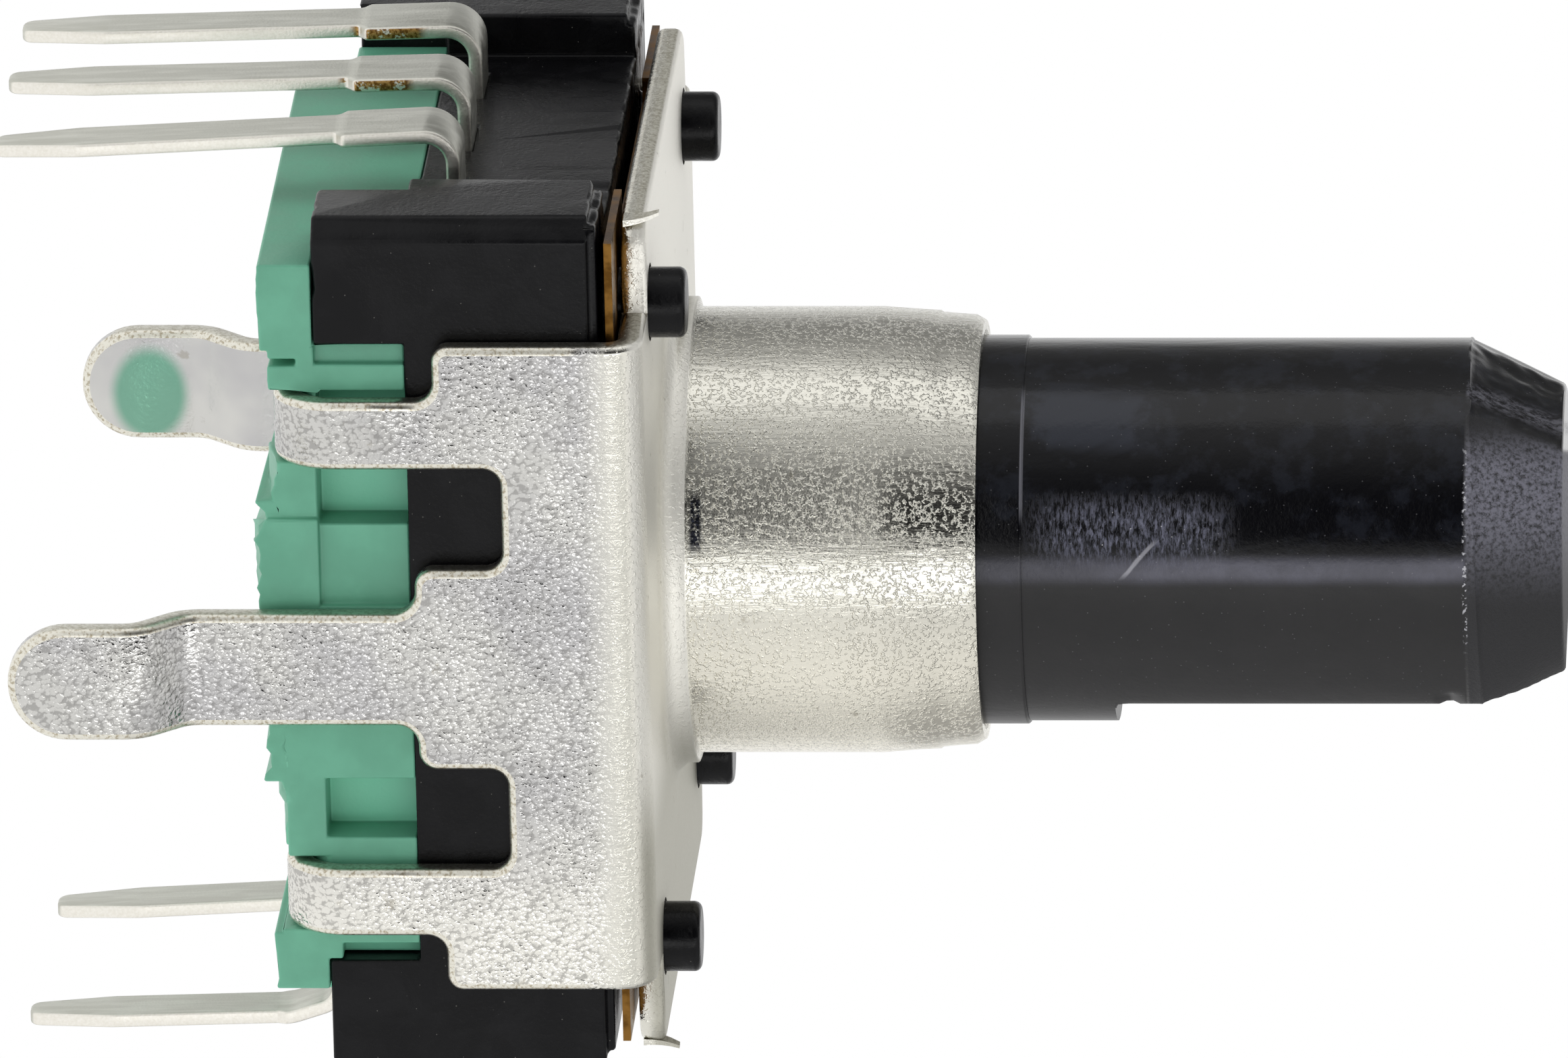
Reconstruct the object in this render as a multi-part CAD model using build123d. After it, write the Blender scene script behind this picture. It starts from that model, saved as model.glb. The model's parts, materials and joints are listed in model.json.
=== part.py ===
"""Incremental rotary encoder with a push switch, 11 mm class, upright board mounting.

Millimetres.  +Z runs along the shaft to its tip, +X points to the row of three signal
terminals, and the origin is on the shaft axis in the plane of the circuit board.
"""
from build123d import *
import math
import os

# ---- driving dimensions --------------------------------------------------------------
PIN_PITCH = 2.5            # pitch of the signal terminals, half that of the switch pair
SIGNAL_ROW_X = 7.6         # centre plane of the signal pins
SWITCH_ROW_X = -7.08       # centre plane of the switch pins
SHEET = 0.4                # bracket steel
PIN_SHEET = 0.22           # terminal brass
SPRING_SHEET = 0.12        # click spring bronze
FINGER_SHEET = 0.1         # wipers and the contact disc
RUN = 0.05                 # radial running clearance
GAP = 0.02                 # gap between pieces that only touch

SHAFT_R = 3.0
SHAFT_TIP_Z = 20.2
COLLAR_R = 3.05            # round stretch that turns in the bushing
COLLAR_TOP_Z = 11.8
FLAT_LENGTH = 7.0
FLAT_DEPTH = 1.5           # leaves 4.5 mm across the flat
FLAT_ANGLE = 196.0         # direction of the flat's normal about +Z, from +X
TIP_CONE = (1.45, 0.72)    # axial and radial size of the cone at the tip
FLANGE_R = 3.6             # keeps the shaft behind the front plate
FLANGE_Z = (5.22, 5.72)
DRIVE_R = 1.9              # lower end of the shaft, with two flats that drive the rotor
DRIVE_HALF_FLAT = 1.45
SHAFT_BOTTOM_Z = 2.37
PUSH_TRAVEL = 0.5

PLATE_TOP_Z = 6.2
PLATE_X = (-6.9, 6.8)      # the two end tongues
TONGUE_HALF_Y = 4.8
WALL_OUT_Y = 6.45          # outer faces of the side walls
WALL_HALF_X = 5.3
SHOULDER_Z = 2.95          # where the side walls narrow to the tabs
TAB_X = (3.29, 4.4)        # clinch tab, measured from the middle
TAB_UNDER_Z = 0.43
TAB_REACH_Y = 4.6          # how far a clinched tab reaches in under the case
TAB_BEND_R = 0.75          # clinch bend, on the sheet's middle
TAB_FOLD_Z = 1.42          # where a tab starts to fold, just above the bend
FRONT_BEND_R = 0.38        # bend between plate and wall, on the sheet's middle
NOTCH_TOP_Z = 3.97
NOTCH_IN_X = 1.65
STEP_Z = 2.6
LUG_HALF_X = 0.92
LUG_TIP_Z = -3.7
LUG_JOG = 0.65             # outward kink that snaps behind the board
LUG_JOG_Z = (-1.0, -1.7)
BUSH_R = 3.5
BUSH_MOUTH_R = 3.37
BUSH_STRAIGHT_Z = 9.5
BUSH_TOP_Z = 11.1
BUSH_BORE_R = COLLAR_R + RUN

BUSH_RING = (3.66, 6.42, 6.58)    # radius and heights of the ridge at its root
BUSH_LINE_Z = 10.4         # faint step left by drawing

PEG_X, PEG_Y, PEG_R, PEG_TOP_Z = 5.25, 4.15, 0.55, 6.77

HOUSING_HALF_Y = 6.0
HOUSING_X = (-6.65, 6.5)
HOUSING_Z = (2.5, 5.5)
CHEEK_BOTTOM_Z = 1.1
CHEEK_OUT_X = 7.2          # the +X cheeks stand proud beside the signal terminals
CHEEK_IN_X = 5.2
REAR_CHEEK_IN_X = -4.96
CHEEK_IN_Y = 4.4
RECESS_HALF_Y = 3.9
POCKET_R = 5.2
POCKET_FLOOR_Z = 3.0
HUB_R = 2.4
RIM_STEP = 0.13            # step around the housing's front edge
CORNER_CUT = 0.32          # chamfer on the proud corners

ROTOR_R = 5.0
ROTOR_Z = (3.6, 5.35)
DETENTS = 30
PULSES = 15
DISC_R = 4.8               # contact disc under the rotor
GROOVE_R = 0.3             # radius of the click wheel's grooves

SPRING_Z = 5.62            # underside of the click spring
SPRING_X = (-6.35, 6.8)    # ends of its outer frame
SPRING_HALF_Y = 5.85
SPRING_RING = (3.95, 4.8)  # inner and outer radius of the ring that flexes
RIB_R = 0.28               # ribs that drop into the grooves

CASE_X = (-6.3, 6.5)
CASE_NARROW_X = (-5.44, 5.1)       # ends of the case where its rear corners are cut away
CASE_HALF_Y = 5.98
CASE_REAR_Z = 0.36         # rear face outside the standing band
CASE_END_Z = 0.22          # its raised ends
CASE_STEP_Z = 0.49         # lower stretch beside the band, along the long faces
CHANNEL_X = (2.22, 4.44)   # channels that clear the clinch tabs
NARROW_CHANNEL_X = (-2.92, -1.95)
CHANNEL_DEPTH = 0.7
CAVITY_R = 3.6
CAVITY_FLOOR_Z = 0.84
PLUNGER_R = CAVITY_R - 0.06
DOME_R, DOME_RISE, DOME_SHEET = 2.8, 0.5, 0.1

PIN_TIP_Z = -4.05
SIGNAL_EXIT_Z = 3.0
SIGNAL_WIDE, SWITCH_WIDE, PIN_WIDE = 1.2, 0.96, 0.86
SIGNAL_WIDE_END_Z = 1.4
LEANS = {"a": -0.2, "c": -0.19, "b": -0.37}     # set of each signal pin's tip, along X
SWITCH_LEANS = {"d": -0.22, "e": -0.12}         # set of each switch pin's tip, along X

SIDES = (-1, 1)


# ---- helpers -------------------------------------------------------------------------
def block(x, y, z):
    """Box between pairs of limits."""
    size = (x[1] - x[0], y[1] - y[0], z[1] - z[0])
    centre = ((x[0] + x[1]) / 2, (y[0] + y[1]) / 2, (z[0] + z[1]) / 2)
    return Pos(*centre) * Box(*size)


def drum(radius, z, x=0.0, y=0.0):
    """Upright cylinder between two heights."""
    return Pos(x, y, (z[0] + z[1]) / 2) * Cylinder(radius, z[1] - z[0])


def turned(*outline):
    """Solid of revolution about Z from (radius, height) points."""
    profile = make_face(Plane.XZ * Polyline(*outline, close=True))
    return revolve(profile, Axis.Z)


def outline_prism(plane, points, radii, depth):
    """Prism of a closed outline with filleted corners, centred on the plane."""
    wire = FilletPolyline(*points, radius=radii, close=True)
    return extrude(plane * make_face(wire), depth / 2, both=True)


def bent_strip(plane, points, radii, thickness, width):
    """Sheet strip that follows a bent centre line drawn in the plane."""
    line = FilletPolyline(*points, radius=radii)
    return extrude(plane * trace(line, thickness), width / 2, both=True)


def two_flats(radius, half_flat, z):
    """Round bar with two flats, across Y."""
    bar = drum(radius, z)
    return bar & block((-radius, radius), (-half_flat, half_flat), z)


def soften(shape, edges, radius):
    """Fillet the edges, or leave them sharp where the radius does not fit."""
    try:
        rounded = fillet(edges, radius)
    except Exception:
        return shape
    return rounded


def mirror_y(shape):
    return mirror(shape, about=Plane.XZ)


# ---- bracket -------------------------------------------------------------------------
def bracket_wall():
    """The +Y side wall: bent down from the plate, with two tabs and one kinked lug."""
    mid_y = WALL_OUT_Y - SHEET / 2
    plate_mid = PLATE_TOP_Z - SHEET / 2
    lug_y = mid_y + LUG_JOG
    bends = [FRONT_BEND_R, 0.6, 0.6]
    route = [(mid_y - 1.6, plate_mid), (mid_y, plate_mid), (mid_y, LUG_JOG_Z[0]),
             (lug_y, LUG_JOG_Z[1]), (lug_y, LUG_TIP_Z)]
    sheet = bent_strip(Plane.YZ, route, bends, SHEET, 2 * WALL_HALF_X)
    half = [(WALL_HALF_X, PLATE_TOP_Z + 1), (WALL_HALF_X, SHOULDER_Z), (TAB_X[1], SHOULDER_Z),
            (TAB_X[1], TAB_FOLD_Z), (TAB_X[0], TAB_FOLD_Z), (TAB_X[0], NOTCH_TOP_Z),
            (NOTCH_IN_X, NOTCH_TOP_Z), (NOTCH_IN_X, STEP_Z), (LUG_HALF_X, STEP_Z),
            (LUG_HALF_X, LUG_TIP_Z)]
    rounds = [0.01, 0.25, 0.3, 0.01, 0.01, 0.28, 0.28, 0.3, 0.35, LUG_HALF_X - 0.01]
    points = half + [(-x, z) for x, z in reversed(half)]
    mask = outline_prism(Plane.XZ, points, rounds + rounds[::-1], 20)
    return sheet & mask


def clinch_tab(side):
    """End of a tab, folded in under the switch case; side is its sign along X."""
    mid_y = WALL_OUT_Y - SHEET / 2
    low = TAB_UNDER_Z + SHEET / 2
    route = [(mid_y, TAB_FOLD_Z + 0.1), (mid_y, low), (TAB_REACH_Y, low)]
    width = TAB_X[1] - TAB_X[0]
    strip = bent_strip(Plane.YZ, route, [TAB_BEND_R], SHEET, width)
    return Pos(side * (TAB_X[0] + TAB_X[1]) / 2, 0, 0) * strip


def tab_seat(side):
    """Space in the case's corner that a clinched tab closes over."""
    x = sorted((side * (TAB_X[0] - 0.05), side * (TAB_X[1] + 0.05)))
    bend_y = WALL_OUT_Y - SHEET / 2 - TAB_BEND_R
    bend_z = TAB_UNDER_Z + SHEET / 2 + TAB_BEND_R
    inner = TAB_BEND_R - SHEET / 2 - GAP
    corner = block(x, (bend_y, 9), (-1, bend_z))
    core = Pos((x[0] + x[1]) / 2, bend_y, bend_z) * Rot(0, 90, 0) * Cylinder(inner, 3)
    return corner - core + block(x, (TAB_REACH_Y - 0.15, bend_y), (-1, TAB_UNDER_Z + SHEET + GAP))


def front_plate():
    """Flat plate with two end tongues."""
    z = (PLATE_TOP_Z - SHEET, PLATE_TOP_Z)
    middle = block((-WALL_HALF_X, WALL_HALF_X), (-WALL_OUT_Y + 1.5, WALL_OUT_Y - 1.5), z)
    tongues = block(PLATE_X, (-TONGUE_HALF_Y, TONGUE_HALF_Y), z)
    tongues = soften(tongues, tongues.edges().filter_by(Axis.Z), 0.5)
    return middle + tongues


def bushing():
    """Plain collar drawn up out of the plate, with a rolled mouth."""
    root = PLATE_TOP_Z - SHEET
    ring_r, ring_low, ring_high = BUSH_RING
    line_share = (BUSH_LINE_Z - BUSH_STRAIGHT_Z) / (BUSH_TOP_Z - BUSH_STRAIGHT_Z)
    line_r = BUSH_R + line_share * (BUSH_MOUTH_R - BUSH_R)
    return turned((BUSH_BORE_R, root), (BUSH_R + 0.55, root), (BUSH_R + 0.55, PLATE_TOP_Z),
                  (BUSH_R + 0.3, PLATE_TOP_Z + 0.06), (ring_r, ring_low), (ring_r, ring_high),
                  (BUSH_R, ring_high + 0.05), (BUSH_R, BUSH_STRAIGHT_Z),
                  (line_r + 0.01, BUSH_LINE_Z), (line_r - 0.015, BUSH_LINE_Z + 0.03),
                  (BUSH_MOUTH_R, BUSH_TOP_Z - 0.14), (BUSH_MOUTH_R - 0.08, BUSH_TOP_Z),
                  (BUSH_BORE_R + 0.04, BUSH_TOP_Z), (BUSH_BORE_R, BUSH_TOP_Z - 0.06))


def make_bracket():
    walls = bracket_wall()
    for side in SIDES:
        walls += clinch_tab(side)
    body = front_plate() - drum(BUSH_R, (0, 20)) + walls + mirror_y(walls)
    for sx in SIDES:
        for sy in SIDES:
            hole_z = (PLATE_TOP_Z - 1, PLATE_TOP_Z + 1)
            body -= drum(PEG_R + 0.06, hole_z, sx * PEG_X, sy * PEG_Y)
    return body + bushing()


# ---- shaft ---------------------------------------------------------------------------
def make_shaft():
    axial, radial = TIP_CONE
    body = turned((0, FLANGE_Z[0]), (FLANGE_R, FLANGE_Z[0]), (FLANGE_R, FLANGE_Z[1]),
                  (COLLAR_R, FLANGE_Z[1]), (COLLAR_R, COLLAR_TOP_Z - 0.05),
                  (SHAFT_R, COLLAR_TOP_Z), (SHAFT_R, SHAFT_TIP_Z - axial),
                  (SHAFT_R - radial, SHAFT_TIP_Z), (0, SHAFT_TIP_Z))
    flat_z = (SHAFT_TIP_Z - FLAT_LENGTH, SHAFT_TIP_Z + 1)
    flat = block((SHAFT_R - FLAT_DEPTH, SHAFT_R + 1), (-4, 4), flat_z)
    start = flat.edges().filter_by(Axis.Y).sort_by(Axis.Z)[:2].sort_by(Axis.X)[0]
    flat = soften(flat, [start], 0.12)
    body -= Rot(0, 0, FLAT_ANGLE) * flat
    return body + two_flats(DRIVE_R, DRIVE_HALF_FLAT, (SHAFT_BOTTOM_Z, FLANGE_Z[0] + 0.2))


# ---- rotor ---------------------------------------------------------------------------
def make_code_plate():
    """Contact disc: a closed inner ring and a toothed outer track."""
    z = (ROTOR_Z[0] - FINGER_SHEET, ROTOR_Z[0])
    disc = drum(DISC_R, z) - drum(HUB_R + 0.3, z)
    step = 360 / PULSES
    window = block((3.45, 5.2), (-0.38, 0.38), z)
    for index in range(PULSES):
        disc -= Rot(0, 0, index * step) * window
    return disc


def make_rotor(code_plate):
    """Click wheel: driven by the shaft, carrying the code plate below."""
    wheel = drum(ROTOR_R, ROTOR_Z) + drum(DISC_R, (ROTOR_Z[0] - FINGER_SHEET, ROTOR_Z[0] + 0.1))
    wheel += drum(HUB_R, (HOUSING_Z[0] + 0.05, ROTOR_Z[0]))
    wheel -= drum(FLANGE_R + 0.15, (FLANGE_Z[0] - PUSH_TRAVEL - 0.06, 6))
    wheel -= two_flats(DRIVE_R + RUN, DRIVE_HALF_FLAT + RUN, (0, 6))
    groove = Pos(4.4, 0, ROTOR_Z[1] + 0.1) * Rot(0, 90, 0) * Cylinder(GROOVE_R, 3)
    for index in range(DETENTS):
        wheel -= Rot(0, 0, (index + 0.5) * 360 / DETENTS) * groove
    return wheel - code_plate


def make_click_spring():
    """Leaf frame under the front plate; two ribs drop into the wheel's grooves."""
    z = (SPRING_Z, SPRING_Z + SPRING_SHEET)
    inner_r, outer_r = SPRING_RING
    leaf = block(SPRING_X, (-SPRING_HALF_Y, SPRING_HALF_Y), z)
    for side in SIDES:
        leaf -= block(sorted((side * 5.95, side * 7)), (-3.3, 3.3), z)
    leaf -= block((-SPRING_X[0], 7), (-6, 0), z)
    leaf = soften(leaf, leaf.edges().filter_by(Axis.Z), 0.45)
    leaf -= drum(outer_r + 0.25, z)
    leaf += drum(outer_r, z) - drum(inner_r, z)
    for side in SIDES:
        leaf += block(sorted((side * 4.6, side * 5.4)), (-0.8, 0.8), z)
        rib_y = side * (inner_r + outer_r) / 2
        rib = Pos(0, rib_y, SPRING_Z - RIB_R / 2) * Rot(90, 0, 0) * Cylinder(RIB_R, 0.7)
        leaf += rib & block((-1, 1), (-6, 6), (5, z[1] - 0.05))
        for sy in SIDES:
            leaf -= drum(PEG_R + 0.12, (5, 6), side * PEG_X, sy * PEG_Y)
    return leaf


# ---- housing -------------------------------------------------------------------------
def cheek(side_y):
    """One +X corner of the housing, which stands proud and reaches down the case."""
    upper = block((CHEEK_IN_X, CHEEK_OUT_X), (RECESS_HALF_Y, HOUSING_HALF_Y), HOUSING_Z)
    lower = block((CHEEK_IN_X, CHEEK_OUT_X), (CHEEK_IN_Y, HOUSING_HALF_Y),
                  (CHEEK_BOTTOM_Z, HOUSING_Z[0] + 0.5))
    both = upper + lower
    corner = both.edges().filter_by(Axis.Z).group_by(Axis.X)[-1].group_by(Axis.Y)[-1]
    both = chamfer(corner, CORNER_CUT)
    return both if side_y > 0 else mirror_y(both)


def rear_cheek(side_y):
    """One -X corner, flush with the housing's rear face."""
    leg = block((HOUSING_X[0], REAR_CHEEK_IN_X), (CHEEK_IN_Y, HOUSING_HALF_Y),
                (CHEEK_BOTTOM_Z, HOUSING_Z[0] + 0.5))
    return leg if side_y > 0 else mirror_y(leg)


def make_housing(inserts):
    body = block(HOUSING_X, (-HOUSING_HALF_Y, HOUSING_HALF_Y), HOUSING_Z)
    for side in SIDES:
        body += cheek(side) + rear_cheek(side)
    ring = block((-8, 8), (-7, 7), (HOUSING_Z[1] - RIM_STEP, 6))
    inside_y = HOUSING_HALF_Y - RIM_STEP
    ring -= block((HOUSING_X[0] + RIM_STEP, CHEEK_OUT_X - RIM_STEP), (-inside_y, inside_y), (5, 6))
    body -= ring
    body -= drum(POCKET_R, (POCKET_FLOOR_Z, 6))
    body -= drum(HUB_R + 0.06, (0, 6))
    for sx in SIDES:
        for sy in SIDES:
            peg = drum(PEG_R, (HOUSING_Z[1] - 0.5, PEG_TOP_Z), sx * PEG_X, sy * PEG_Y)
            top = peg.edges().sort_by(Axis.Z)[-1]
            body += fillet(top, 0.12)
    for insert in inserts:
        body -= insert
    return body


# ---- signal terminals and wipers -----------------------------------------------------
def pin_mask(y, wide, shoulder_z, tip_z):
    """Front outline of a terminal: wide strip, shoulders, and a pin with a chisel point."""
    half, pin = wide / 2, PIN_WIDE / 2
    side = [(half, 9), (half, shoulder_z), (pin, shoulder_z - 0.12), (pin, tip_z + 1.3),
            (pin * 0.55, tip_z)]
    radii = [0.01, 0.1, 0.1, 1.2, 0.2]
    points = side + [(-across, z) for across, z in reversed(side)]
    outline = [(y + across, z) for across, z in points]
    return outline_prism(Plane.YZ, outline, radii + radii[::-1], 30)


def make_signal_terminal(y, lean):
    """Strip moulded into the housing floor, bent down outside it to a board pin."""
    z = SIGNAL_EXIT_Z + PIN_SHEET / 2
    inner_x = 3.95 if y else 4.3
    route = [(inner_x, z), (SIGNAL_ROW_X, z), (SIGNAL_ROW_X + lean, PIN_TIP_Z)]
    strip = bent_strip(Plane.XZ, route, [0.45], PIN_SHEET, SIGNAL_WIDE)
    return (Pos(0, y, 0) * strip) & pin_mask(y, SIGNAL_WIDE, SIGNAL_WIDE_END_Z, PIN_TIP_Z)


def make_wiper(start, end):
    """Sprung finger from a terminal's inner end up to the code plate."""
    run = math.dist(start, end)
    low = SIGNAL_EXIT_Z + PIN_SHEET + 0.05
    high = ROTOR_Z[0] - FINGER_SHEET * 1.5 - GAP
    route = [(-0.35, low), (0.25, low), (run - 0.2, high), (run, high), (run + 0.25, high - 0.15)]
    finger = bent_strip(Plane.XZ, route, [0.2, 0.2, 0.1], FINGER_SHEET, 0.5)
    heading = math.degrees(math.atan2(end[1] - start[1], end[0] - start[0]))
    return Pos(start[0], start[1], 0) * Rot(0, 0, heading) * finger


# ---- push switch ---------------------------------------------------------------------
def make_switch_terminal(y, lean, contact):
    """Strip moulded into the switch case, bent down outside it to a board pin."""
    z = CAVITY_FLOOR_Z + PIN_SHEET / 2
    tip_z = PIN_TIP_Z + 0.1
    route = [(-2.2, z), (SWITCH_ROW_X + 0.25, z), (SWITCH_ROW_X, 0.2), (SWITCH_ROW_X + lean, tip_z)]
    strip = bent_strip(Plane.XZ, route, [0.35, 0.8], PIN_SHEET, SWITCH_WIDE)
    return ((Pos(0, y, 0) * strip) & pin_mask(y, SWITCH_WIDE, 0.1, tip_z)) + contact


def rim_contact():
    """Open ring that the dome's rim stands on."""
    z = (CAVITY_FLOOR_Z, CAVITY_FLOOR_Z + PIN_SHEET)
    ring = drum(3.2, z) - drum(2.4, z)
    return ring - block((-4, 0.3), (0.3, 4), z)


def centre_contact():
    """Pad under the middle of the dome, with its lead to the second strip."""
    z = (CAVITY_FLOOR_Z, CAVITY_FLOOR_Z + PIN_SHEET)
    lead = block((-2.4, -1.6), (0.0, 2.9), z)
    return drum(0.8, z) + block((-2.4, 0), (-0.4, 0.4), z) + lead


def make_contact_dome():
    """Snap dome: shallow cap of sprung steel."""
    base = CAVITY_FLOOR_Z + PIN_SHEET
    radius = (DOME_R ** 2 + DOME_RISE ** 2) / (2 * DOME_RISE)
    centre_z = base + DOME_RISE - radius
    cap = Pos(0, 0, centre_z + DOME_SHEET) * Sphere(radius) - Pos(0, 0, centre_z) * Sphere(radius)
    return cap & drum(DOME_R, (base, base + 2))


def make_plunger():
    """Push piece guided by the cavity, between the shaft's end and the dome."""
    top = SHAFT_BOTTOM_Z - GAP
    rim = turned((1.6, top - 0.4), (PLUNGER_R, top - 0.4), (PLUNGER_R, top), (1.6, top))
    nose_z = CAVITY_FLOOR_Z + PIN_SHEET + DOME_RISE + DOME_SHEET + GAP
    return rim + drum(1.7, (top - 0.4, top)) + drum(0.75, (nose_z, top - 0.3))


def case_block():
    """Case body: notched at the corners for the housing's cheeks."""
    body = block(CASE_X, (-CASE_HALF_Y, CASE_HALF_Y), (CASE_REAR_Z, HOUSING_Z[0]))
    for sy in SIDES:
        y = sorted((sy * CHEEK_IN_Y, sy * (CASE_HALF_Y + 1)))
        body -= block((CHEEK_IN_X - 0.02, 9), y, (CHEEK_BOTTOM_Z - 0.02, 9))
        body -= block((-9, REAR_CHEEK_IN_X + 0.02), y, (CHEEK_BOTTOM_Z - 0.02, 9))
        body -= block((-9, CASE_NARROW_X[0]), sorted((sy * 3.7, sy * 9)), (0, CHEEK_BOTTOM_Z - 0.02))
    return body - block((CASE_NARROW_X[1], 9), (-9, -2.6), (0, CHEEK_BOTTOM_Z - 0.02))


def face_cut(sy, x, z, depth):
    """Sunk panel on one long face of the case."""
    y = sorted((sy * (CASE_HALF_Y - depth), sy * (CASE_HALF_Y + 1)))
    return block(x, y, z)


def side_relief(sy):
    """Everything sunk into one long face: channels, shallow panels, slots and the rear step."""
    front = (CHEEK_BOTTOM_Z, HOUSING_Z[0] + 1)
    channels = [face_cut(sy, x, front, CHANNEL_DEPTH) for x in (CHANNEL_X, NARROW_CHANNEL_X)]
    panels = [face_cut(sy, (0.9, CHANNEL_X[0]), front, 0.12),
              face_cut(sy, (4.87, CHEEK_IN_X), front, 0.15),
              face_cut(sy, (2.33, 3.4), (0, CHEEK_BOTTOM_Z), 0.1)]
    slots = [face_cut(sy, (4.84, 4.96), (0.33, 0.82), 0.6),
             face_cut(sy, (REAR_CHEEK_IN_X, -4.68), (1.3, 3), 0.35)]
    return channels + panels + slots + [face_cut(sy, (-3.9, -2.35), (0, CASE_STEP_Z), 0.5)]


def case_rear():
    """Rear of the case: a standing band across the middle, its lower ends and raised sides."""
    rear = block((-2.0, 2.6), (-CASE_HALF_Y, CASE_HALF_Y), (0, 0.5))
    for sy in SIDES:
        rear += block((-2.6, 3.3), sorted((sy * 4.9, sy * CASE_HALF_Y)), (0.28, 0.5))
    rear += block((CASE_NARROW_X[0], -4.5), (-CASE_HALF_Y, CASE_HALF_Y), (CASE_END_Z, 0.5))
    return rear + block((5.09, CASE_X[1]), (-2.6, CASE_HALF_Y), (CASE_END_Z, 0.5))


def make_switch_case(inserts):
    body = case_block() + case_rear()
    for sy in SIDES:
        for cut in side_relief(sy):
            body -= cut
        for sx in SIDES:
            seat = tab_seat(sx)
            body -= seat if sy > 0 else mirror_y(seat)
    body -= drum(CAVITY_R, (CAVITY_FLOOR_Z, 3))
    for insert in inserts:
        body -= insert
    return body


# ---- assembly ------------------------------------------------------------------------
def make_all():
    nodes = {"bracket": make_bracket(), "shaft": make_shaft()}
    code_plate = make_code_plate()
    nodes["code_plate"] = code_plate
    nodes["rotor"] = make_rotor(code_plate)
    nodes["click_spring"] = make_click_spring()
    rows = {"a": -PIN_PITCH, "c": 0.0, "b": PIN_PITCH}
    tips = {"a": (0.9, -4.05), "c": (3.05, 0.0), "b": (0.9, 4.05)}
    for name, y in rows.items():
        nodes[f"terminal_{name}"] = make_signal_terminal(y, LEANS[name])
        start = (4.3 if y else 4.65, y)
        nodes[f"wiper_{name}"] = make_wiper(start, tips[name])
    nodes["housing"] = make_housing([nodes[f"terminal_{name}"] for name in rows])
    contacts = {"d": (-PIN_PITCH, rim_contact()), "e": (PIN_PITCH, centre_contact())}
    for name, (y, contact) in contacts.items():
        terminal = make_switch_terminal(y, SWITCH_LEANS[name], contact)
        nodes[f"switch_terminal_{name}"] = terminal
    pair = [nodes["switch_terminal_d"], nodes["switch_terminal_e"]]
    nodes["switch_case"] = make_switch_case(pair)
    nodes["contact_dome"] = make_contact_dome()
    nodes["plunger"] = make_plunger()
    return nodes


os.makedirs("parts", exist_ok=True)
for node_name, solid in make_all().items():
    export_step(solid, f"parts/{node_name}.step")
    print(node_name, round(solid.volume, 3))
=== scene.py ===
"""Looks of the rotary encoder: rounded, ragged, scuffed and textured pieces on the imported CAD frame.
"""
import json
import math

import bmesh
import bpy
from mathutils import Matrix, Vector, noise


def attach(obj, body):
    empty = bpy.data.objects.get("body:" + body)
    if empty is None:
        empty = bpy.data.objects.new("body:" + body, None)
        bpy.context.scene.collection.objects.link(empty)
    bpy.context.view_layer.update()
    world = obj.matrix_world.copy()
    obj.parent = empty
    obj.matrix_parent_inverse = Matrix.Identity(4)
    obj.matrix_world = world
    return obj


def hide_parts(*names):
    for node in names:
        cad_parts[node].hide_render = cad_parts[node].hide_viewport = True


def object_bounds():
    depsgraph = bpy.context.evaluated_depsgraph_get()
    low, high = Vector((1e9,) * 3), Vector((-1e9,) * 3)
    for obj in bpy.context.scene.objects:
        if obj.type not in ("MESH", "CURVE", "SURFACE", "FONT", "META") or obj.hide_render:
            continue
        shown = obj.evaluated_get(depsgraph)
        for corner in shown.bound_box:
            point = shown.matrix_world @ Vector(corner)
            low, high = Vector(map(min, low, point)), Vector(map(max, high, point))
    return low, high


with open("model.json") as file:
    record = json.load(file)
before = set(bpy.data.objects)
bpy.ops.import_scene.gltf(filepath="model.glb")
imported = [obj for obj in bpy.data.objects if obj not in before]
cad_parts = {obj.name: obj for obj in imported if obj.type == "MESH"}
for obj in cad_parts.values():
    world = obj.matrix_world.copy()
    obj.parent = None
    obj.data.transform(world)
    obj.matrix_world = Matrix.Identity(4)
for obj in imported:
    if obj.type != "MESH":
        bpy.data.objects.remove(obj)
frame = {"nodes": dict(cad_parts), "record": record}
cad_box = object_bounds()
MM = 0.001
SCENE = bpy.context.scene


# ---- camera, floor and light ---------------------------------------------------------
RAISED = math.radians(20.0)        # camera height towards the signal terminals
LOOK_DOWN = math.radians(3.6)      # camera turn towards the shaft's tip
FRAME_WIDTH = 24.6 * MM            # width of the view at the shaft axis
LENS, SENSOR = 600.0, 36.0
AIM_SHARE = 0.4935                 # height of the aim point, as a share of the whole object
CLIP = (0.01, 20.0)
LIGHT_FAR = 0.30                   # distance of the softboxes from the shaft, in metres
LIGHT_AIM = 8 * MM                 # height on the shaft that the softboxes face
SOFTBOXES = (                      # degrees from the view axis, length, width, glow, lean to the tip
    ("softbox_low", -27, 0.50, 0.085, 1.6, 0.1),
    ("softbox_top", 78, 0.34, 0.14, 0.5, 0.1),
    ("softbox_tip", -30, 0.20, 0.30, 0.3, 1.6),
)
# brightness that the tent gains between two angles from the camera's side, above and below
TENT = ((10, 70, 0.80), (74, 122, -0.54), (136, 160, 0.70),
        (-5, -16, 0.84), (-84, -125, -0.46), (-148, -165, 0.57))
PAPER = (0.18, 3.0, 0.05, 0.20)    # reach of the floor paper: front, behind, up, down
FLOOR_REACH = 3.0
FLOOR_GAP, PAPER_GAP = 0.01 * MM, 0.02 * MM      # floor below the paper, paper below the pins
CORNERS = ((-1, -1), (1, -1), (1, 1), (-1, 1))


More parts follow.
